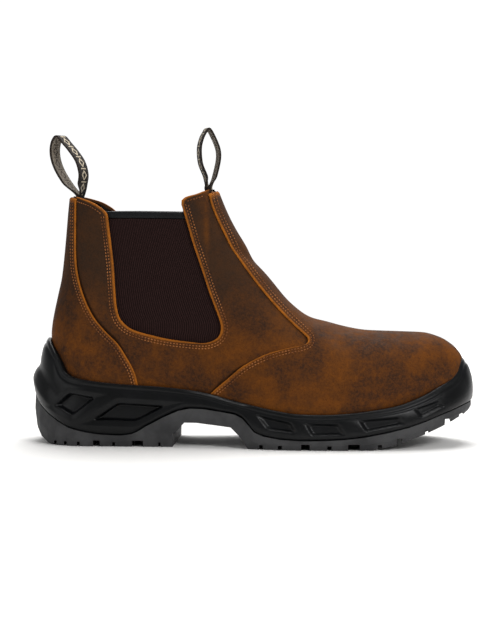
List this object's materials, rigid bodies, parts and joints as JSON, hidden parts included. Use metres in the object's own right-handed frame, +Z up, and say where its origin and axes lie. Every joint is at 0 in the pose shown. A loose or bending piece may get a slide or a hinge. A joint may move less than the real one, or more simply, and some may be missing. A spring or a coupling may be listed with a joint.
{
  "type": "side gore work boot",
  "caption": "Ankle-high slip-on work boot with a smooth round toe, elastic side gores, webbing pull loops and a thick lugged rubber sole.",
  "frame": {"origin": "on the floor, under the middle of the boot", "axes": "+X towards the toe, +Y towards the inner side of the foot, +Z up"},
  "size_m": [0.306, 0.1093, 0.215],
  "materials": {
    "upper_leather": "oiled pull-up leather, dark brown with warm brown where it is bent or rubbed, satin",
    "gore_elastic": "ribbed elastic, dark brown, matt",
    "gore_binding": "folded black tape, slightly shiny",
    "midsole_rubber": "moulded black rubber, satin",
    "outsole_rubber": "moulded dark grey rubber, matt",
    "insole_fabric": "black woven cover, matt",
    "loop_webbing": "woven tape, black brown with a light woven motif outside and grey beige inside"
  },
  "bodies": {
    "root": {"upper": "upper_leather", "gore_lateral": "gore_elastic", "gore_medial": "gore_elastic", "gore_binding_lateral": "gore_binding", "gore_binding_medial": "gore_binding", "midsole": "midsole_rubber", "outsole": "outsole_rubber", "insole": "insole_fabric", "pull_loop_rear": "loop_webbing", "pull_loop_front": "loop_webbing"}
  },
  "joints": []
}
